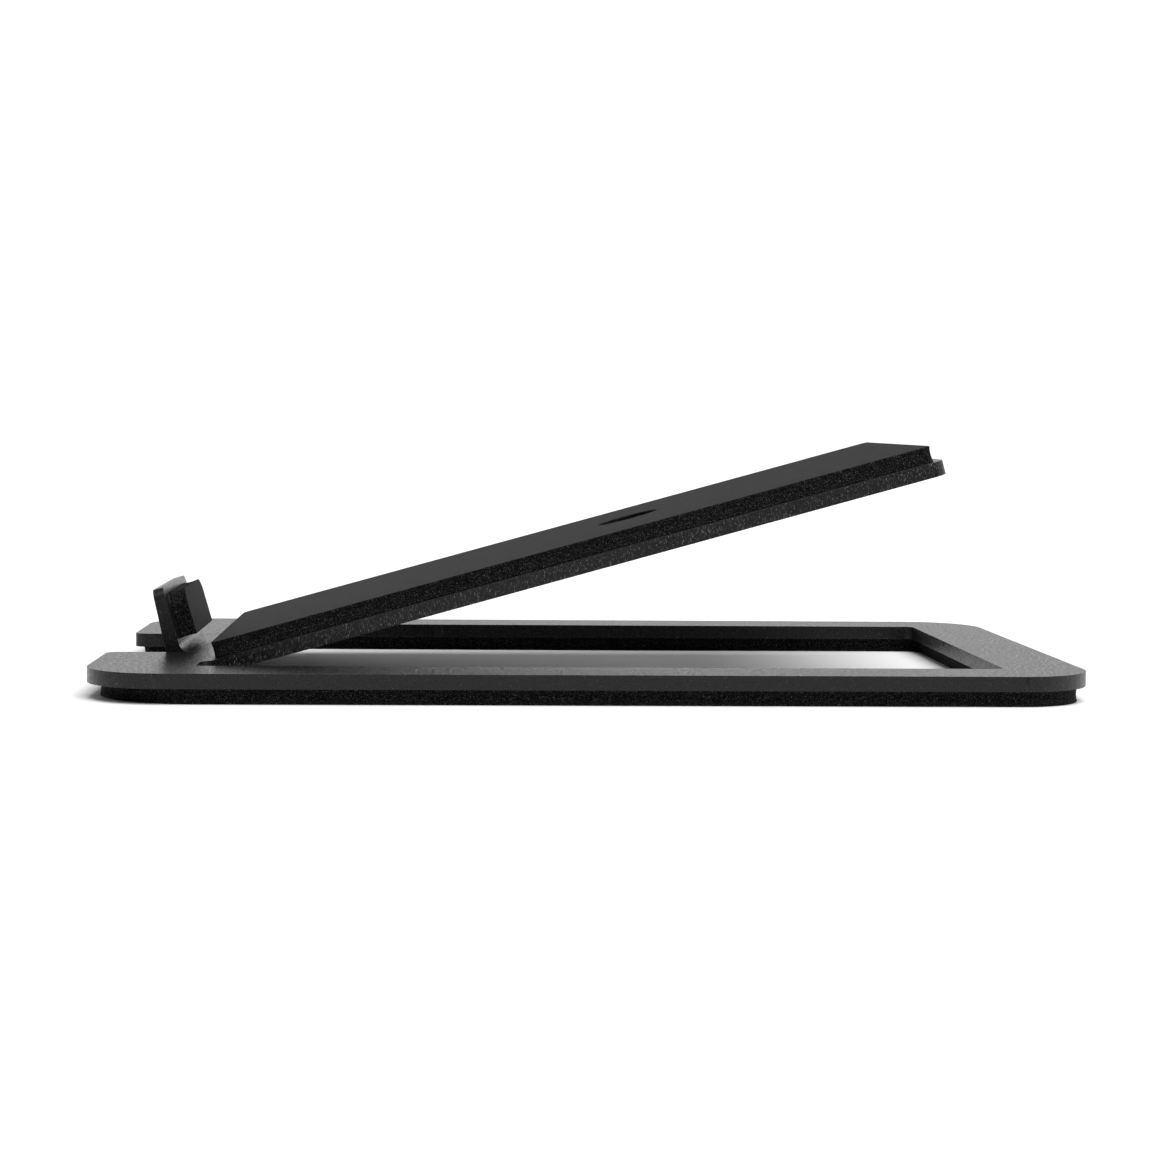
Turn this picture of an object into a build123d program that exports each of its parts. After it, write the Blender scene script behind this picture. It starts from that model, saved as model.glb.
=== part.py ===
from build123d import *
import os
from math import cos, radians, sin, tan

# A laptop stand: one thick steel sheet, cut and folded, with foam pads stuck on it.
#
# Millimetres, +Z up. The origin is the middle of the footprint, on the surface that the
# stand rests on. +X runs from the low front, where the stop is, to the raised rear of the
# deck, and +Y goes across the stand.
#
# Each fold is described by its knee: the line where the flat sheet's upper face and the
# folded part's upper face would meet if the bend had no radius.

# ---- Sheet and footprint ----------------------------------------------------------
sheet = 4.0                 # thickness of the folded sheet
film = 0.2                  # bonding film under each foam pad
length = 265.9              # footprint along X
width = 168.0               # footprint along Y
corner_radius = 20.5        # plan corners of the footprint
side_rail = 19.5            # frame width beside the opening
rear_rail = 21.8            # frame width behind the opening
opening_corner = 2.5        # the opening's two rear corners

# ---- Foam under the frame ---------------------------------------------------------
base_foam = 4.2             # foam and film together
base_inset = 2.2            # the foam stays this far inside the sheet's edges
base_front_corner = 27.0    # the foam's front corners are cut rounder than the sheet's

# ---- Deck -------------------------------------------------------------------------
deck_angle = 15.7           # degrees above the frame
deck_knee = -101.75         # X of the deck's knee
deck_width = 101.6
deck_length = 206.2         # from the knee to the rear edge, along the slope
deck_corner = 4.0
deck_bend = 4.0             # inner radius of the bend
leg_tip = 2.8               # how far the side slots run in front of the knee
leg_corner = 1.5            # the slots' front corners on the rail's side
root_fillet = 5.0           # the slots' front corners on the deck's side

# ---- Deck pad ---------------------------------------------------------------------
deck_foam = 4.7
deck_pad_start = 0.7        # from the knee, along the slope
deck_pad_margin = 2.7       # bare sheet behind the pad
deck_pad_corner = 2.5
hole_place = 121.5          # from the knee to the middle of the pad's hole
hole_radius = 8.7

# ---- Stop -------------------------------------------------------------------------
notch_width = 56.0
notch_corner = 3.0          # rounding of the two front arms' inner tips
stop_lean = 16.1            # degrees back from upright
stop_knee = -112.65         # X of the stop's knee
stop_height = 18.7          # from the knee to the top edge, along the face
stop_tip = 3.0              # the tab's thickness at its top edge; it thins from the bend up
stop_corner = 3.0           # upper corners of the tab
stop_bend = 3.0             # inner radius of the bend
relief_gap = 0.8            # saw-thin cuts beside the tab
relief_run = 3.2            # how far they run behind the bend

# ---- Stop pad ---------------------------------------------------------------------
stop_foam = 4.9
stop_pad_bottom = 3.3       # from the knee, along the face
stop_pad_top = 16.8
stop_pad_inset = 5.8        # bare sheet at each end of the pad
stop_pad_corner = 4.5

# ---- Worked-out places ------------------------------------------------------------
frame_bottom = base_foam
frame_top = base_foam + sheet
front = -length / 2
rear = length / 2
opening_half = width / 2 - side_rail
opening_rear = rear - rear_rail
leg_width = opening_half - deck_width / 2
deck_root_width = deck_width + 2 * root_fillet
tab_width = notch_width - 2 * relief_gap
stop_turn = 90.0 - stop_lean


def bend_start(knee, turn, inner_radius, side):
    """X where a bend of this turn leaves the flat sheet; side is +1 to the rear, -1 to the front."""
    return knee - side * inner_radius * tan(radians(turn) / 2)


def folded_strip(knee, turn, inner_radius, reach, side, strip_width, tip):
    """A bent tongue: its profile in XZ, pulled across the stand.

    The upper face turns up through an arc of inner_radius, the lower face through the
    same arc plus the sheet's thickness, and both then run straight to reach, where the
    strip is tip thick.
    """
    start = bend_start(knee, turn, inner_radius, side)
    outer_radius = inner_radius + sheet
    centre_z = frame_top + inner_radius

    def on_arc(radius, degrees):
        swing = radians(degrees)
        return (start + side * radius * sin(swing), centre_z - radius * cos(swing))

    along = (side * cos(radians(turn)), sin(radians(turn)))
    straight = reach - inner_radius * tan(radians(turn) / 2)

    def run_on(point):
        return (point[0] + along[0] * straight, point[1] + along[1] * straight)

    upper = [on_arc(inner_radius, share * turn) for share in (0, 0.5, 1)]
    lower = [on_arc(outer_radius, share * turn) for share in (0, 0.5, 1)]
    end = run_on(upper[2])
    end_below = (end[0] + side * tip * sin(radians(turn)), end[1] - tip * cos(radians(turn)))
    edges = [
        ThreePointArc(*upper),
        Line(upper[2], end),
        Line(end, end_below),
        Line(end_below, lower[2]),
        ThreePointArc(*reversed(lower)),
        Line(lower[0], upper[0]),
    ]
    profile = Plane.XZ * make_face(Curve() + edges)
    return extrude(profile, strip_width / 2, both=True)


def deck_plane():
    """On the deck's upper face at the knee: local X up the slope, local Z out of the face."""
    angle = radians(deck_angle)
    return Plane(
        origin=(deck_knee, 0, frame_top),
        x_dir=(cos(angle), 0, sin(angle)),
        z_dir=(-sin(angle), 0, cos(angle)),
    )


def stop_plane():
    """On the stop's inner face at the knee: local X up the face, local Z towards the deck."""
    lean = radians(stop_lean)
    return Plane(
        origin=(stop_knee, 0, frame_top),
        x_dir=(-sin(lean), 0, cos(lean)),
        z_dir=(cos(lean), 0, sin(lean)),
    )


def slot(start, end, across, slot_width):
    """A flat cutter from start to end along X, half-round at its rear end."""
    radius = slot_width / 2
    straight = Pos((start + end - radius) / 2, across) * Rectangle(end - radius - start, slot_width)
    return straight + Pos(end - radius, across) * Circle(radius)


def leg_slots(inset):
    """The two cuts beside the deck, as a flat cutter."""
    tip = deck_knee - leg_tip - inset
    end = opening_rear + inset
    cuts = []
    for side in (-1, 1):
        middle = Pos((tip + end) / 2, side * (opening_half + deck_width / 2) / 2)
        cut = middle * Rectangle(end - tip, leg_width + 2 * inset)
        deck_corner_point = cut.vertices().sort_by(lambda corner: corner.X + abs(corner.Y))[0]
        cut = fillet(deck_corner_point, root_fillet)
        rail_corner_point = cut.vertices().sort_by(lambda corner: corner.X - abs(corner.Y))[0]
        cuts.append(fillet(rail_corner_point, leg_corner))
    return cuts[0] + cuts[1]


def frame_outline(inset, front_corner, rear_corner):
    """The flat frame seen from above, every edge moved in by inset."""
    spare = width
    slab = (length - 2 * inset + spare, width - 2 * inset)
    front_end = Pos(spare / 2, 0) * RectangleRounded(*slab, front_corner)
    rear_end = Pos(-spare / 2, 0) * RectangleRounded(*slab, rear_corner)
    outline = front_end & rear_end
    opening_start = bend_start(deck_knee, deck_angle, deck_bend, 1) - inset
    opening_end = opening_rear + inset
    under_deck = Pos((opening_start + opening_end) / 2, 0) * Rectangle(
        opening_end - opening_start, deck_root_width
    )
    opening = under_deck + leg_slots(inset)
    rear_corners = opening.vertices().group_by(Axis.X)[-1].sort_by(Axis.Y)
    outline -= fillet([rear_corners[0], rear_corners[-1]], opening_corner)
    notch_end = bend_start(stop_knee, stop_turn, stop_bend, -1) + inset
    outline -= Pos((front + notch_end) / 2, 0) * Rectangle(
        notch_end - front, notch_width + 2 * inset
    )
    front_points = outline.vertices().filter_by(lambda v: abs(v.X - front - inset) < 0.01)
    tips = front_points.filter_by(lambda v: abs(v.Y) < 0.7 * notch_width)
    return fillet(tips, notch_corner)


def folded_plate():
    """The whole folded sheet: flat frame, deck and stop in one piece."""
    outline = frame_outline(0, corner_radius, corner_radius)
    flat = Pos(0, 0, frame_bottom) * extrude(outline, sheet)
    deck = folded_strip(
        deck_knee, deck_angle, deck_bend, deck_length, 1, deck_root_width, sheet
    )
    legs = Pos(0, 0, -1) * extrude(leg_slots(0), frame_top + deck_length)
    tab = folded_strip(stop_knee, stop_turn, stop_bend, stop_height, -1, tab_width, stop_tip)
    tab = fillet(upper_corner_edges(tab), stop_corner)

    plate = flat + deck - legs
    notch_end = bend_start(stop_knee, stop_turn, stop_bend, -1)
    for side in (-1, 1):
        across = side * (notch_width - relief_gap) / 2
        relief = slot(notch_end - relief_gap, notch_end + relief_run, across, relief_gap)
        plate -= Pos(0, 0, -1) * extrude(relief, frame_top + 2)
    return fillet(upper_corner_edges(plate), deck_corner) + tab


def upper_corner_edges(folded):
    """The two end-corner edges of a raised tongue, which run through the sheet's thickness."""
    return folded.edges().filter_by(is_through_edge).sort_by(Axis.Z)[-2:]


def is_through_edge(edge):
    """True for a straight edge, no longer than the sheet is thick, that lies in an XZ plane."""
    direction = edge % 0.5
    return (
        edge.geom_type == GeomType.LINE
        and edge.length < sheet + 0.01
        and abs(direction.Y) < 0.01
    )


def deck_layer(thickness, lift):
    """One layer on the deck, with the pad's outline and hole."""
    end = deck_length - deck_pad_margin
    outline = Pos((deck_pad_start + end) / 2, 0) * RectangleRounded(
        end - deck_pad_start, deck_width, deck_pad_corner
    )
    outline -= Pos(hole_place, 0) * Circle(hole_radius)
    return deck_plane() * Pos(0, 0, lift) * extrude(outline, thickness)


def stop_layer(thickness, lift):
    """One layer on the stop's face; only its upper corners are rounded."""
    middle = (stop_pad_bottom + stop_pad_top) / 2
    outline = Pos(middle, 0) * Rectangle(
        stop_pad_top - stop_pad_bottom, tab_width - 2 * stop_pad_inset
    )
    outline = fillet(outline.vertices().sort_by(Axis.X)[-2:], stop_pad_corner)
    return stop_plane() * Pos(0, 0, lift) * extrude(outline, thickness)


def base_layer(thickness, lift):
    """One layer under the frame, set in from the sheet's edges."""
    outline = frame_outline(base_inset, base_front_corner, corner_radius - base_inset)
    return Pos(0, 0, lift) * extrude(outline, thickness)


parts = {
    "folded_plate": folded_plate(),
    "deck_adhesive": deck_layer(film, 0),
    "deck_pad": deck_layer(deck_foam - film, film),
    "stop_adhesive": stop_layer(film, 0),
    "stop_pad": stop_layer(stop_foam - film, film),
    "base_adhesive": base_layer(film, base_foam - film),
    "base_pad": base_layer(base_foam - film, 0),
}

os.makedirs("parts", exist_ok=True)
for name, solid in parts.items():
    export_step(solid, f"parts/{name}.step")
    box = solid.bounding_box()
    print(name, [round(v, 2) for v in (*box.min, *box.max)], round(solid.volume))
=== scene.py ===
# %% [markdown]
# # A folded steel laptop stand
# The stand is one 4 mm steel sheet. A laser cuts its outline and slots, a press folds the
# sloping deck and the small front stop up out of it, it is powder coated, and die-cut foam
# is stuck to the deck, to the stop and under the frame. The CAD model already holds every
# size. This script keeps its bonding films, and models the sheet and the foam again with the
# soft edges, bends and surface grain that a real one has.
#
# Everything is in metres, in the CAD model's own axes: +X runs from the low front to the
# raised rear, +Y goes across and +Z is up.

# %% Load the CAD model
from math import cos, radians, sin, tan

import bmesh
import bpy
from mathutils import Matrix, Vector


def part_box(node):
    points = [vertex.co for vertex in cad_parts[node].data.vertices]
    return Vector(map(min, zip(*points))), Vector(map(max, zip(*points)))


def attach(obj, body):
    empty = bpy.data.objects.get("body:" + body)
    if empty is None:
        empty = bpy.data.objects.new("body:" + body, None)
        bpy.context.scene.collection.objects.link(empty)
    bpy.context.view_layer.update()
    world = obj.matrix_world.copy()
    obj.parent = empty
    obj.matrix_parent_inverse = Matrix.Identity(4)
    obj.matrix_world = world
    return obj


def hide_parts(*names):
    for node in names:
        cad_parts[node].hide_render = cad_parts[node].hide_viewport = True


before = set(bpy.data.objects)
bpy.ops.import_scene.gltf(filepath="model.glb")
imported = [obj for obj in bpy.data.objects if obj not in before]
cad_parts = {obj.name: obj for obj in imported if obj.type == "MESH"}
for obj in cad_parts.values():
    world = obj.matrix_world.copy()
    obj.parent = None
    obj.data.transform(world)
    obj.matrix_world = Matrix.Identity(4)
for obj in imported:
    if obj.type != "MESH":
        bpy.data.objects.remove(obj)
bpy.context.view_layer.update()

MM = 0.001
touch = 0.01 * MM           # two places nearer than this count as the same
merge_gap = 0.002 * MM      # points nearer than this are joined
beyond = 10 * MM            # how far a cutter runs past what it cuts
print("CAD nodes:", ", ".join(sorted(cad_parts)))

# %% [markdown]
# ## The stand's sizes
# The outer sizes are read from the CAD nodes, so the new pieces fit whatever the CAD holds.
# The cuts and folds inside the outline can't be read from a box, so they are named here once,
# in millimetres. A fold's knee is the line where the two upper faces would meet if the bend
# had no radius.

# %% Read the outer sizes and name the rest
plate_low, plate_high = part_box("folded_plate")
foam_low, foam_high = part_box("base_pad")
front, rear, half_width = plate_low[0], plate_high[0], plate_high[1]
frame_bottom = plate_low[2]
sheet = 4.0 * MM
frame_top = frame_bottom + sheet
film = frame_bottom - foam_high[2]
foam_inset = half_width - foam_high[1]

corner_radius = 20.5 * MM
foam_front_corner = 27.0 * MM
opening_half = half_width - 19.5 * MM
opening_rear = rear - 21.8 * MM
opening_corner = 2.5 * MM

deck_angle = radians(15.7)
deck_knee = -101.75 * MM
deck_half = 101.6 / 2 * MM
deck_length = 206.2 * MM
deck_corner = 4.0 * MM
deck_bend = 4.0 * MM
slot_tip = deck_knee - 2.8 * MM
slot_corner = 1.5 * MM
root_fillet = 5.0 * MM

notch_half = 28.0 * MM
notch_corner = 3.0 * MM
stop_lean = radians(16.1)
stop_turn = radians(90) - stop_lean
stop_knee = -112.65 * MM
stop_height = 18.7 * MM
stop_corner = 3.0 * MM
stop_tip = 3.0 * MM
stop_bend = 3.0 * MM
relief_gap = 0.8 * MM
relief_run = 3.2 * MM

deck_bend_start = deck_knee - deck_bend * tan(deck_angle / 2)
stop_bend_start = stop_knee + stop_bend * tan(stop_turn / 2)
print(f"frame {(rear - front) / MM:.1f} x {2 * half_width / MM:.1f} mm, film {film / MM:.2f} mm")

# %% [markdown]
# ## A small bench of tools
# Every piece starts as a box. Three things then happen to it again and again: corners are
# rounded, openings are cut, and faces are chosen by where they are. Each gets a short
# function. Blender's edit-mode tools act on whatever is selected, so each function clears the
# selection first.

# %% Box, edit mode and selection
def block(name, low, high):
    """A box between two corners, with its place kept in its mesh and its object at the origin."""
    bpy.ops.object.select_all(action="DESELECT")
    middle = [(a + b) / 2 for a, b in zip(low, high)]
    size = [b - a for a, b in zip(low, high)]
    bpy.ops.mesh.primitive_cube_add(size=1, location=middle, scale=size)
    bpy.ops.object.transform_apply(location=True, rotation=True, scale=True)
    piece = bpy.context.object
    piece.name = piece.data.name = name
    return piece


def make_active(piece):
    """The piece becomes the only one selected."""
    bpy.ops.object.select_all(action="DESELECT")
    piece.select_set(True)
    bpy.context.view_layer.objects.active = piece


def edit(piece):
    make_active(piece)
    bpy.ops.object.mode_set(mode="EDIT")


def done():
    bpy.ops.object.mode_set(mode="OBJECT")


def pick(piece, kind, test):
    """In edit mode, selects only the faces or edges that pass the test, and counts them."""
    bpy.ops.mesh.select_mode(type=kind)
    bpy.ops.mesh.select_all(action="DESELECT")
    mesh = bmesh.from_edit_mesh(piece.data)
    chosen = [part for part in (mesh.faces if kind == "FACE" else mesh.edges) if test(part)]
    for part in chosen:
        part.select_set(True)
    bmesh.update_edit_mesh(piece.data)
    return len(chosen)


def edge_middle(edge):
    return (edge.verts[0].co + edge.verts[1].co) / 2


# %% Rounding, cutting and tidying
def round_corners(piece, radius, here=lambda place: True, along=(0, 0, 1), steps=10):
    """Rounds the edges that run in the direction along, where here(place) is true."""
    direction = Vector(along).normalized()

    def wanted(edge):
        span = edge.verts[1].co - edge.verts[0].co
        return abs(span.normalized().dot(direction)) > 0.999 and here(edge_middle(edge))

    edit(piece)
    count = pick(piece, "EDGE", wanted)
    bpy.ops.mesh.bevel(offset=radius, segments=steps, affect="EDGES")
    done()
    print(f"{piece.name}: {count} corners rounded to {radius / MM:.1f} mm")


def cut(piece, cutter):
    """Takes the cutter's space out of the piece, and the cutter out of the scene."""
    make_active(piece)
    modifier = piece.modifiers.new("cut", "BOOLEAN")
    modifier.operation, modifier.solver, modifier.object = "DIFFERENCE", "EXACT", cutter
    bpy.ops.object.modifier_apply(modifier=modifier.name)
    bpy.data.objects.remove(cutter)


def clean(piece):
    """Joins points that coincide and drops the flat seams that cutting leaves."""
    edit(piece)
    bpy.ops.mesh.select_all(action="SELECT")
    bpy.ops.mesh.remove_doubles(threshold=merge_gap)
    bpy.ops.mesh.dissolve_limited(angle_limit=radians(0.2))
    done()


# %% [markdown]
# ## The flat frame
# The real blank is cut flat by a laser, and the foam under it is cut by a die to the same
# outline, a little smaller. So one function draws both: a slab with round corners, a notch at
# the front for the stop, and the opening under the deck. The slots beside the deck are cut
# later, because on the sheet they also trim the folded deck to its width.

# %% One outline for the sheet and for the foam under it
deck_root_half = deck_half + root_fillet
tab_half = notch_half - relief_gap


def notch_cutter(bottom, top, inset, with_relief):
    """The space in front of the stop, with a thin relief cut at each side of its bend if asked."""
    wall = stop_bend_start + inset
    cutter = block(
        "notch",
        (front - beyond, -notch_half - inset, bottom - beyond),
        (wall, notch_half + inset, top + beyond),
    )
    if not with_relief:
        return cutter
    edit(cutter)
    for side in (-1, 1):
        bpy.ops.mesh.select_all(action="SELECT")
        bpy.ops.mesh.bisect(plane_co=(0, side * tab_half, 0), plane_no=(0, 1, 0))

    def beside_tab(face):
        middle = face.calc_center_median()
        return abs(middle.x - wall) < touch and abs(middle.y) > tab_half

    pick(cutter, "FACE", beside_tab)
    bpy.ops.mesh.extrude_region_move(TRANSFORM_OT_translate={"value": (relief_run, 0, 0)})
    done()
    nearly_half_round = 0.48 * relief_gap
    far_end = wall + relief_run / 2
    round_corners(cutter, nearly_half_round, lambda place: place.x > far_end, steps=4)
    return cutter


def frame_slab(name, bottom, top, inset, front_corner, with_relief=False):
    """The frame's outline between two heights, with every edge moved in by inset."""
    slab = block(
        name,
        (front + inset, -half_width + inset, bottom),
        (rear - inset, half_width - inset, top),
    )
    round_corners(slab, front_corner, lambda place: place.x < 0, steps=24)
    round_corners(slab, corner_radius - inset, lambda place: place.x > 0, steps=24)
    cut(slab, notch_cutter(bottom, top, inset, with_relief))

    def at_tip(place):
        return abs(place.x - front - inset) < touch and abs(place.y) < 1.4 * notch_half

    round_corners(slab, notch_corner, at_tip)
    under_deck = block(
        "under_deck",
        (deck_bend_start - inset, -deck_root_half, bottom - beyond),
        (opening_rear + inset, deck_root_half, top + beyond),
    )
    cut(slab, under_deck)
    return slab


def cut_side_slots(slab, inset):
    """The two long cuts beside the deck, right through everything above and below."""
    above_deck = 100 * MM

    def by_deck(place):
        return abs(place.y) < deck_root_half

    def at_rail_front(place):
        return place.x < slot_tip - inset + touch and not by_deck(place)

    def at_rail_rear(place):
        return place.x > 0 and not by_deck(place)

    for side in (-1, 1):
        inner, outer = side * (deck_half - inset), side * (opening_half + inset)
        cutter = block(
            "slot",
            (slot_tip - inset, min(inner, outer), -beyond),
            (opening_rear + inset, max(inner, outer), above_deck),
        )
        round_corners(cutter, root_fillet, lambda place: place.x < 0 and by_deck(place))
        round_corners(cutter, slot_corner, at_rail_front, steps=4)
        round_corners(cutter, opening_corner, at_rail_rear, steps=6)
        cut(slab, cutter)


plate = frame_slab("folded_sheet", frame_bottom, frame_top, 0, corner_radius, with_relief=True)
print("flat blank:", len(plate.data.polygons), "faces")

# %% [markdown]
# ## Folding up the deck and the stop
# A press bends the tongues upwards. On the model each tongue grows out of the wall that the
# cut left: the wall is spun round the bend's centre, which leaves a true inside and outside
# radius, and is then extruded straight along the new direction. Modelling the tongue apart
# and joining it on would leave a seam just where the bend catches the light.

# %% Grow a tongue from a wall
def fold_up(piece, start, half, turn, radius, straight, toward, steps, tip=sheet):
    """Bends the wall at x=start up by turn and runs it straight on to an end that is tip thick.

    toward is +1 for a tongue that points rearwards and -1 for one that points forwards.
    """

    def is_wall(face):
        middle = face.calc_center_median()
        in_place = abs(middle.x - start) < touch and abs(middle.y) < half
        return in_place and face.normal.x * toward > 0.9

    edit(piece)
    found = pick(piece, "FACE", is_wall)
    bpy.ops.mesh.spin(
        steps=steps, angle=turn, center=(start, 0, frame_top + radius), axis=(0, toward, 0)
    )
    bpy.ops.mesh.extrude_region_move(
        TRANSFORM_OT_translate={
            "value": (toward * cos(turn) * straight, 0, sin(turn) * straight)
        }
    )
    through = Vector((toward * sin(turn), 0, -cos(turn)))
    end_points = [point for point in bmesh.from_edit_mesh(piece.data).verts if point.select]
    lower = max(point.co.dot(through) for point in end_points)
    for point in end_points:
        if point.co.dot(through) > lower - 0.1 * MM:
            point.co -= through * (sheet - tip)
    bpy.ops.mesh.select_all(action="DESELECT")
    bpy.ops.mesh.select_interior_faces()
    bpy.ops.mesh.delete(type="FACE")
    bpy.ops.mesh.select_all(action="SELECT")
    bpy.ops.mesh.remove_doubles(threshold=merge_gap)
    bpy.ops.mesh.normals_make_consistent(inside=False)
    done()
    print(f"{piece.name}: {found} wall folded up by {turn:.3f} rad")


fold_up(
    plate, stop_bend_start, tab_half / 2, stop_turn, stop_bend,
    stop_height - stop_bend * tan(stop_turn / 2), -1, 10, tip=stop_tip,
)
fold_up(
    plate, deck_bend_start, deck_half, deck_angle, deck_bend,
    deck_length - deck_bend * tan(deck_angle / 2), 1, 5,
)
sheet_top = max(point.co.z for point in plate.data.vertices)
print(f"sheet top at {sheet_top / MM:.2f} mm, in the CAD {plate_high[2] / MM:.2f} mm")

# %% [markdown]
# ## Slots, relief cuts and corners
# The two long slots free the deck's sides and leave a fillet at its root, where a sharp
# corner would crack in use. The stop has a saw-thin relief cut at each side, so that its bend
# doesn't tear the sheet. The tongues' free corners are rounded last, while each is still a
# plain edge with three faces round it.

# %% Cut the slots and round the tongues
cut_side_slots(plate, 0)
clean(plate)

deck_up = Vector((-sin(deck_angle), 0, cos(deck_angle)))
stop_face = Vector((cos(stop_lean), 0, sin(stop_lean)))


def at_deck_end(place):
    return place.z > 2 * frame_top and place.x > 0


def at_stop_top(place):
    return place.z > 2 * frame_top and place.x < stop_knee


round_corners(plate, deck_corner, at_deck_end, along=deck_up)
round_corners(plate, stop_corner, at_stop_top, along=stop_face)

# %% [markdown]
# ## Edges worn round by the coating
# A laser leaves square edges, but the powder melts and draws back from them, so every edge of
# the coated sheet ends in a radius of a little over half a millimetre. That radius is what
# catches a thin line of light. A Bevel modifier makes it wherever two faces meet sharply, and
# weighted normals keep the wide faces looking flat beside it. The widest faces are shaded flat
# outright, because a big many-sided face that shares its normals shows a faint crease.

# %% Soften every sharp edge
wide_area = 100 * MM * MM
wide_span = 1 * MM          # a face narrower than this is a strip of a bend, not a wide face


def soften(piece, radius, steps=3, sharp=35):
    """Rounds all edges sharper than an angle in degrees, then shades the piece smooth."""
    make_active(piece)
    bevel = piece.modifiers.new("soft edges", "BEVEL")
    bevel.width, bevel.segments, bevel.limit_method = radius, steps, "ANGLE"
    bevel.angle_limit = radians(sharp)
    bpy.ops.object.modifier_apply(modifier=bevel.name)
    bpy.ops.object.shade_smooth_by_angle(angle=radians(40))
    for face in piece.data.polygons:
        points = [piece.data.vertices[index].co for index in face.vertices]
        around = sum((a - b).length for a, b in zip(points, points[1:] + points[:1]))
        if face.area > wide_area and 2 * face.area / around > wide_span:
            face.use_smooth = False
    weighted = piece.modifiers.new("flat faces stay flat", "WEIGHTED_NORMAL")
    weighted.weight, weighted.keep_sharp = 100, True
    bpy.ops.object.modifier_apply(modifier=weighted.name)
    print(f"{piece.name}: edges {radius / MM:.2f} mm, {len(piece.data.polygons)} faces")


soften(plate, 0.6 * MM)

# %% [markdown]
# ## The foam
# The pads are closed-cell foam, cut from a sheet by a steel-rule die. Such a pad isn't stuffed
# and has no seam, so it needs no cloth simulation. What tells it from a rubber block is its
# edge: the die squeezes the foam while it cuts, and when the foam springs back the cut side is
# slightly hollow, with a soft top rim. So each pad is cut flat on the bench, its sides get
# rings of points, the middle rings are drawn in by 0.3 mm, and then the pad is laid on its
# face of the sheet.

# %% Hollow the cut sides and lay the pad in place
side_hollow = 0.3 * MM
foam_rim = 0.45 * MM


def hollow_sides(pad, bottom, top):
    """Draws the cut sides in towards mid height, as die-cut foam springs back."""
    edit(pad)
    rings = 6
    for ring in range(1, rings):
        bpy.ops.mesh.select_all(action="SELECT")
        height = bottom + (top - bottom) * ring / rings
        bpy.ops.mesh.bisect(plane_co=(0, 0, height), plane_no=(0, 0, 1))
    bpy.ops.mesh.select_all(action="DESELECT")
    mesh = bmesh.from_edit_mesh(pad.data)
    mesh.normal_update()
    for point in mesh.verts:
        share = (point.co.z - bottom) / (top - bottom)
        if 0.01 < share < 0.99:
            point.co -= point.normal * side_hollow * 4 * share * (1 - share)
    bmesh.update_edit_mesh(pad.data)
    done()


def lay_on(piece, origin, turn):
    """Turns the piece about +Y, moves it from the bench to its place, and keeps that in its mesh."""
    make_active(piece)
    piece.matrix_world = Matrix.Translation(origin) @ Matrix.Rotation(turn, 4, "Y")
    bpy.ops.object.transform_apply(location=True, rotation=True, scale=True)


# %% Deck pad, with its round hole
deck_foam = 4.7 * MM
deck_pad_start, deck_pad_end = 0.7 * MM, deck_length - 2.7 * MM
deck_pad_corner = 2.5 * MM
hole_place, hole_radius = 121.5 * MM, 8.7 * MM
punch_length = 30 * MM

deck_pad = block(
    "deck_foam_pad", (deck_pad_start, -deck_half, film), (deck_pad_end, deck_half, deck_foam)
)
round_corners(deck_pad, deck_pad_corner, steps=8)
bpy.ops.object.select_all(action="DESELECT")
bpy.ops.mesh.primitive_cylinder_add(
    vertices=72, radius=hole_radius, depth=punch_length, location=(hole_place, 0, 0)
)
cut(deck_pad, bpy.context.object)
hollow_sides(deck_pad, film, deck_foam)
soften(deck_pad, foam_rim)
lay_on(deck_pad, (deck_knee, 0, frame_top), -deck_angle)

# %% Stop pad, rounded at its two upper corners
stop_foam = 4.9 * MM
stop_pad_bottom, stop_pad_top = 3.3 * MM, 16.8 * MM
stop_pad_half = tab_half - 5.8 * MM
stop_pad_corner = 4.5 * MM

stop_pad = block(
    "stop_foam_pad",
    (-stop_pad_top, -stop_pad_half, film),
    (-stop_pad_bottom, stop_pad_half, stop_foam),
)
round_corners(stop_pad, stop_pad_corner, lambda place: place.x < -stop_pad_top + touch)
hollow_sides(stop_pad, film, stop_foam)
soften(stop_pad, foam_rim)
lay_on(stop_pad, (stop_knee, 0, frame_top), stop_turn)

# %% Foam ring under the frame
base_pad = frame_slab(
    "base_foam_ring", foam_low[2], foam_high[2], foam_inset, foam_front_corner
)
cut_side_slots(base_pad, foam_inset)
clean(base_pad)
hollow_sides(base_pad, foam_low[2], foam_high[2])
soften(base_pad, foam_rim)

# %% [markdown]
# ## Materials from what they are made of
# Nothing here is a flat colour. Colours are typed as the hex codes a colour picker shows and
# turned to the linear numbers that Blender mixes light with. A pattern's scale is worked out
# from a real size: Blender's noise makes features about one over its scale, in metres. The
# patterns read Object coordinates, so they sit still on the piece in every view.

# %% Colour, node and pattern helpers
def hex_colour(code, alpha=1.0):
    """A hex code such as 1c1c1d as linear red, green, blue and alpha."""
    shares = [int(code[i:i + 2], 16) / 255 for i in (0, 2, 4)]
    linear = [s / 12.92 if s <= 0.04045 else ((s + 0.055) / 1.055) ** 2.4 for s in shares]
    return linear + [alpha]


def add_node(tree, kind, inputs=None, **settings):
    """Adds a node, sets it, and links or sets its inputs."""
    made = tree.nodes.new(kind)
    for name, value in settings.items():
        setattr(made, name, value)
    for socket, value in (inputs or {}).items():
        if isinstance(value, bpy.types.NodeSocket):
            tree.links.new(value, made.inputs[socket])
        else:
            made.inputs[socket].default_value = value
    return made


def per_mm(size):
    """The pattern scale that gives features of this size in millimetres."""
    return 1 / (size * MM)


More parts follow.
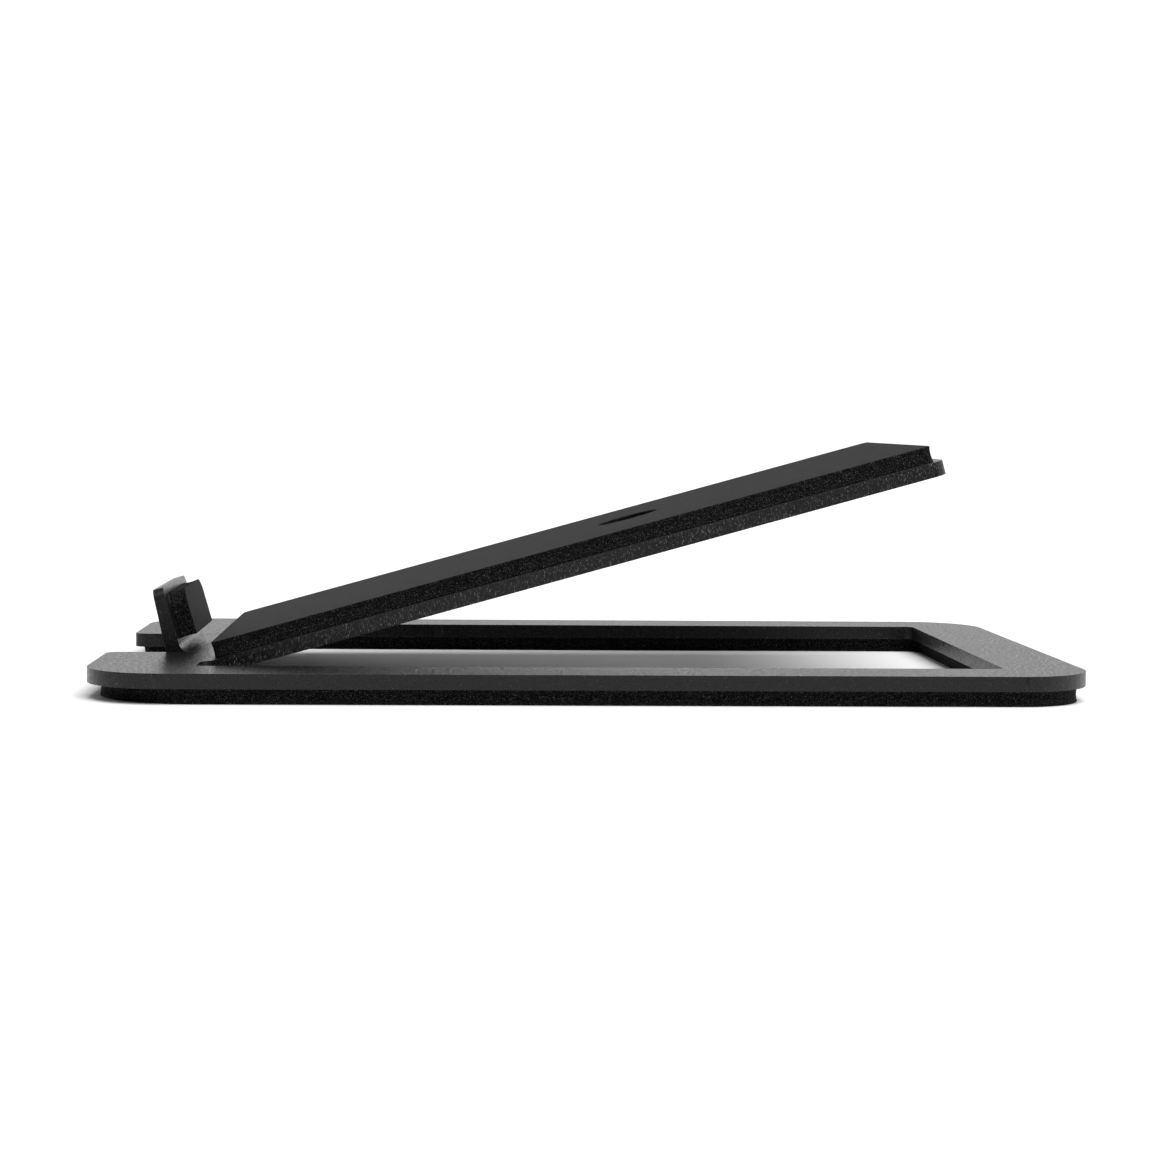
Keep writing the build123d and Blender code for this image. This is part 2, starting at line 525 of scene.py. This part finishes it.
def new_material(name):
    """An empty node material, its shader and its Object coordinates."""
    material = bpy.data.materials.new(name)
    material.use_nodes = True
    tree = material.node_tree
    tree.nodes.clear()
    shader = add_node(tree, "ShaderNodeBsdfPrincipled")
    add_node(tree, "ShaderNodeOutputMaterial", {"Surface": shader.outputs["BSDF"]})
    place = add_node(tree, "ShaderNodeTexCoord").outputs["Object"]
    return material, tree, shader, place


# %% [markdown]
# ## Textured powder coat
# The sheet is mild steel under a black polyester powder with a fine texture. Melted powder
# sets in tiny rounded grains a little over half a millimetre apart, and its gloss wanders from
# one millimetre to the next. So light skimming along it gives a soft grey sheen with a mottled
# grain, while a surface seen square on stays almost black. The laser-cut edges carry the same
# coat over fine upright striations, and pale specks are painted on them as glints of light. The
# glints are drawn a quarter of a millimetre wide, coarser than real ones, so that they show.

# %% Powder coat for the faces and for the laser-cut edges
def powder_coat(name, cut_tilt=None, glint_start=0.66):
    """The coat; with cut_tilt it covers a cut edge whose striations lean by that angle about Y.

    The lower glint_start is, the more painted glints there are.
    """
    material, tree, shader, place = new_material(name)
    grain = add_node(
        tree, "ShaderNodeTexNoise",
        {"Vector": place, "Scale": per_mm(0.6), "Detail": 3.0, "Roughness": 0.7},
    )
    mottle = add_node(
        tree, "ShaderNodeTexNoise",
        {"Vector": place, "Scale": per_mm(0.9), "Detail": 4.0, "Roughness": 0.7},
    )
    colour = add_node(
        tree, "ShaderNodeMix",
        {"Factor": mottle.outputs["Fac"], 6: hex_colour("070708"), 7: hex_colour("121213")},
        data_type="RGBA",
    )
    gloss = add_node(
        tree, "ShaderNodeMapRange",
        {
            "Value": mottle.outputs["Fac"],
            "From Min": 0.3, "From Max": 0.7, "To Min": 0.16, "To Max": 0.48,
        },
    )
    height = grain.outputs["Fac"]
    base = colour.outputs[2]
    if cut_tilt is not None:
        long = add_node(
            tree, "ShaderNodeMapping",
            {"Vector": place, "Rotation": (0, cut_tilt, 0), "Scale": (1, 1, 0.14)},
        )
        striations = add_node(
            tree, "ShaderNodeTexNoise",
            {"Vector": long.outputs["Vector"], "Scale": per_mm(0.55), "Detail": 2.0},
        )
        short = add_node(
            tree, "ShaderNodeMapping",
            {"Vector": place, "Rotation": (0, cut_tilt, 0), "Scale": (1, 1, 0.3)},
        )
        # Pale specks painted into the cut edge's colour stand in for glints of light.
        glint_noise = add_node(
            tree, "ShaderNodeTexNoise",
            {"Vector": short.outputs["Vector"], "Scale": per_mm(0.24), "Detail": 2.0},
        )
        painted_glints = add_node(
            tree, "ShaderNodeMapRange",
            {
                "Value": glint_noise.outputs["Fac"],
                "From Min": glint_start, "From Max": glint_start + 0.18,
                "To Min": 0.0, "To Max": 1.0,
            },
        )
        base = add_node(
            tree, "ShaderNodeMix",
            {"Factor": painted_glints.outputs["Result"], 6: base, 7: hex_colour("747476")},
            data_type="RGBA",
        ).outputs[2]
        height = add_node(
            tree, "ShaderNodeMath",
            {0: striations.outputs["Fac"], 1: grain.outputs["Fac"]},
            operation="ADD",
        ).outputs["Value"]
    bump = add_node(
        tree, "ShaderNodeBump", {"Height": height, "Strength": 0.8, "Distance": 0.08 * MM}
    )
    tree.links.new(base, shader.inputs["Base Color"])
    tree.links.new(gloss.outputs["Result"], shader.inputs["Roughness"])
    tree.links.new(bump.outputs["Normal"], shader.inputs["Normal"])
    shader.inputs["IOR"].default_value = 1.5
    shader.inputs["Specular IOR Level"].default_value = 0.36
    return material


coat = powder_coat("powder_coated_steel")
frame_edge = powder_coat("laser_cut_edge_frame", 0.0)
deck_edge = powder_coat("laser_cut_edge_deck", deck_angle, glint_start=0.59)
stop_edge = powder_coat("laser_cut_edge_stop", -stop_turn)

# %% Give the cut edges their own finish
for material in (coat, frame_edge, deck_edge, stop_edge):
    plate.data.materials.append(material)
counts = [0, 0, 0, 0]
just_above_frame = frame_top + 0.1 * MM
for face in plate.data.polygons:
    place, normal = face.center, face.normal
    if place.z > just_above_frame and place.x > deck_knee:
        kind = 2 if abs(normal.dot(deck_up)) < 0.5 else 0
    elif place.z > just_above_frame:
        kind = 3 if abs(normal.y) > 0.5 or normal.z > 0.7 else 0
    else:
        kind = 1 if abs(normal.z) < 0.5 else 0
    face.material_index = kind
    counts[kind] += 1
print("faces: coat, frame edge, deck edge, stop edge =", counts)

# %% [markdown]
# ## Foam skin and cut foam
# Closed-cell foam leaves its mould with a thin matt skin, drawn into faint streaks along the
# sheet, and pricked with pores. Where the die has cut it the cells stand open: a coarse black
# sponge in which the thin cell walls catch specks of light. So a pad has two materials, one
# for the skin and one for the cut sides.

# %% The two foam finishes
def foam_skin(name, tilt):
    """Matt skin with streaks along the sheet; tilt lays the streaks along the sloping face."""
    material, tree, shader, place = new_material(name)
    laid = add_node(
        tree, "ShaderNodeMapping",
        {"Vector": place, "Rotation": (0, tilt, 0), "Scale": (0.05, 1, 1)},
    )
    streak = add_node(
        tree, "ShaderNodeTexNoise",
        {"Vector": laid.outputs["Vector"], "Scale": per_mm(2.2), "Detail": 4.0},
    )
    pores = add_node(
        tree, "ShaderNodeTexNoise", {"Vector": place, "Scale": per_mm(0.5), "Detail": 2.0}
    )
    colour = add_node(
        tree, "ShaderNodeMix",
        {"Factor": streak.outputs["Fac"], 6: hex_colour("010101"), 7: hex_colour("202020")},
        data_type="RGBA",
    )
    height = add_node(
        tree, "ShaderNodeMath",
        {0: pores.outputs["Fac"], 1: streak.outputs["Fac"]},
        operation="ADD",
    )
    bump = add_node(
        tree, "ShaderNodeBump",
        {"Height": height.outputs["Value"], "Strength": 0.8, "Distance": 0.15 * MM},
    )
    tree.links.new(colour.outputs[2], shader.inputs["Base Color"])
    tree.links.new(bump.outputs["Normal"], shader.inputs["Normal"])
    shader.inputs["Roughness"].default_value = 0.72
    shader.inputs["IOR"].default_value = 1.45
    shader.inputs["Specular IOR Level"].default_value = 0.2
    return material


def cut_foam(name):
    """Open cells about half a millimetre across, with specks of light on their walls."""
    material, tree, shader, place = new_material(name)
    open_cells = add_node(
        tree, "ShaderNodeTexVoronoi", {"Vector": place, "Scale": per_mm(0.5)}, feature="F1"
    )
    cell_walls = add_node(
        tree, "ShaderNodeTexNoise", {"Vector": place, "Scale": per_mm(0.22), "Detail": 2.0}
    )
    glint = add_node(
        tree, "ShaderNodeMapRange",
        {
            "Value": cell_walls.outputs["Fac"],
            "From Min": 0.56, "From Max": 0.8, "To Min": 0.0, "To Max": 1.0,
        },
    )
    colour = add_node(
        tree, "ShaderNodeMix",
        {"Factor": glint.outputs["Result"], 6: hex_colour("020202"), 7: hex_colour("686868")},
        data_type="RGBA",
    )
    bump = add_node(
        tree, "ShaderNodeBump",
        {"Height": open_cells.outputs["Distance"], "Strength": 0.8, "Distance": 0.3 * MM},
    )
    tree.links.new(colour.outputs[2], shader.inputs["Base Color"])
    tree.links.new(bump.outputs["Normal"], shader.inputs["Normal"])
    shader.inputs["Roughness"].default_value = 0.8
    shader.inputs["IOR"].default_value = 1.45
    shader.inputs["Specular IOR Level"].default_value = 0.1
    return material


deck_skin = foam_skin("foam_skin_deck", deck_angle)
stop_skin = foam_skin("foam_skin_stop", 0.0)
cut_sides = cut_foam("die_cut_foam")
for pad, skin, outward in (
    (deck_pad, deck_skin, deck_up),
    (stop_pad, stop_skin, stop_face),
    (base_pad, stop_skin, Vector((0, 0, 1))),
):
    pad.data.materials.append(skin)
    pad.data.materials.append(cut_sides)
    for face in pad.data.polygons:
        face.material_index = 0 if abs(face.normal.dot(outward)) > 0.7 else 1
    skin_count = sum(face.material_index == 0 for face in pad.data.polygons)
    print(f"{pad.name}: {skin_count} skin faces of {len(pad.data.polygons)}")

# %% Bonding film on the CAD nodes that stay
def bonding_film():
    """Black acrylic transfer tape, seen only as a dark line in the joint."""
    material, tree, shader, place = new_material("acrylic_bonding_film")
    smear = add_node(
        tree, "ShaderNodeTexNoise", {"Vector": place, "Scale": per_mm(2), "Detail": 2.0}
    )
    colour = add_node(
        tree, "ShaderNodeMix",
        {"Factor": smear.outputs["Fac"], 6: hex_colour("050505"), 7: hex_colour("121212")},
        data_type="RGBA",
    )
    tree.links.new(colour.outputs[2], shader.inputs["Base Color"])
    shader.inputs["Roughness"].default_value = 0.45
    shader.inputs["IOR"].default_value = 1.47
    return material


film_material = bonding_film()
for name in ("deck_adhesive", "stop_adhesive", "base_adhesive"):
    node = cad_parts[name]
    if not node.material_slots:
        node.data.materials.append(film_material)
    for material_slot in node.material_slots:
        material_slot.material = film_material
    print(f"{name}: {node.material_slots[0].name}")

# %% [markdown]
# ## Which piece stands for which CAD node
# The stand has no joint, so everything rides on the one body.

# %% Say what each piece is
for piece, node, finish in (
    (plate, "folded_plate", "coated_steel"),
    (deck_pad, "deck_pad", "foam"),
    (stop_pad, "stop_pad", "foam"),
    (base_pad, "base_pad", "foam"),
):
    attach(piece, "root")
    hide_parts(node)
    print(f"{piece.name} stands for {node}, finish {finish}")

# %% [markdown]
# ## Studio
# The stand is shown on plain white. A black object is lit mostly by what it mirrors. So the
# surroundings are white near the horizon, where the level faces mirror them and take a grey
# sheen, and dimmer higher up, so that the foam and the bends stay dark. One broad light from
# above the front whitens the floor and keeps the cut edges readable. A black card at the front
# and one at the low end are mirrored in the upright faces and hold them dark.

# %% Floor, light and surroundings
floor_half = 4.0
bpy.ops.object.select_all(action="DESELECT")
bpy.ops.mesh.primitive_plane_add(size=2 * floor_half, location=(0, 0, 0))
floor = bpy.context.object
floor.name = "floor"
paper, tree, shader, place = new_material("white_paper_floor")
fibres = add_node(
    tree, "ShaderNodeTexNoise", {"Vector": place, "Scale": per_mm(1.5), "Detail": 2.0}
)
tone = add_node(
    tree, "ShaderNodeMix",
    {"Factor": fibres.outputs["Fac"], 6: hex_colour("f4f4f4"), 7: hex_colour("fafafa")},
    data_type="RGBA",
)
tree.links.new(tone.outputs[2], shader.inputs["Base Color"])
shader.inputs["Roughness"].default_value = 0.9
floor.data.materials.append(paper)

world = bpy.data.worlds.new("white_studio")
bpy.context.scene.world = world
world.use_nodes = True
sky = world.node_tree
direction = add_node(sky, "ShaderNodeTexCoord").outputs["Generated"]
climb = add_node(sky, "ShaderNodeSeparateXYZ", {"Vector": direction}).outputs["Z"]
brightness = add_node(
    sky, "ShaderNodeMapRange",
    {"Value": climb, "From Min": 0.22, "From Max": 0.6, "To Min": 1.1, "To Max": 0.3},
)
sky.nodes["Background"].inputs["Color"].default_value = (1, 1, 1, 1)
sky.links.new(brightness.outputs["Result"], sky.nodes["Background"].inputs["Strength"])
print("floor and surroundings ready")


def broad_light(name, direction, strength, spread):
    """A light so large and far that it falls evenly on the whole floor, from a direction."""
    bpy.ops.object.light_add(type="SUN", location=direction)
    lamp = bpy.context.object
    lamp.name = name
    lamp.data.energy = strength
    lamp.data.angle = spread
    lamp.rotation_euler = Vector(direction).to_track_quat("Z", "Y").to_euler()


def dark_card(name, place, aim, width, height):
    """A black card that takes light away from the side it stands on, and isn't seen itself."""
    bpy.ops.object.select_all(action="DESELECT")
    bpy.ops.mesh.primitive_plane_add(size=1, location=place)
    card = bpy.context.object
    card.name = name
    card.scale = (width, height, 1)
    card.rotation_euler = (Vector(aim) - Vector(place)).to_track_quat("Z", "Y").to_euler()
    card.data.materials.append(black_card)
    card.visible_camera = False


black_card, tree, shader, place = new_material("black_felt_card")
shader.inputs["Base Color"].default_value = hex_colour("050505")
shader.inputs["Roughness"].default_value = 1.0
dark_card("front_card", (0.1, -1.05, 0.26), (0.1, 0, 0.26), 2.6, 0.52)
dark_card("left_card", (-1.05, -0.3, 0.26), (0, -0.3, 0.26), 1.6, 0.52)
broad_light("overhead_light", (0.25, -0.45, 1.0), 3.4, radians(55))
bpy.context.scene.view_settings.view_transform = "Standard"

# %% [markdown]
# ## Camera
# The camera stands low at the stand's long side, near the front end, and looks slightly down
# and slightly rearwards with a long lens.

# %% Place the camera
camera_place = Vector((-36.15, -691.2, 74.0)) * MM
heading, down, roll = radians(3.007), radians(3.876), radians(0.543)
bpy.ops.object.camera_add()
camera = bpy.context.object
camera.name = "camera"
camera.matrix_world = (
    Matrix.Translation(camera_place)
    @ Matrix.Rotation(-heading, 4, "Z")
    @ Matrix.Rotation(radians(90) - down, 4, "X")
    @ Matrix.Rotation(roll, 4, "Z")
)
camera.data.sensor_width = 36.0
camera.data.lens = 73.54
camera.data.clip_start, camera.data.clip_end = 0.01, 50.0
bpy.context.scene.camera = camera
print(f"camera {camera.location.length / MM:.0f} mm from the origin, lens {camera.data.lens:.1f} mm")
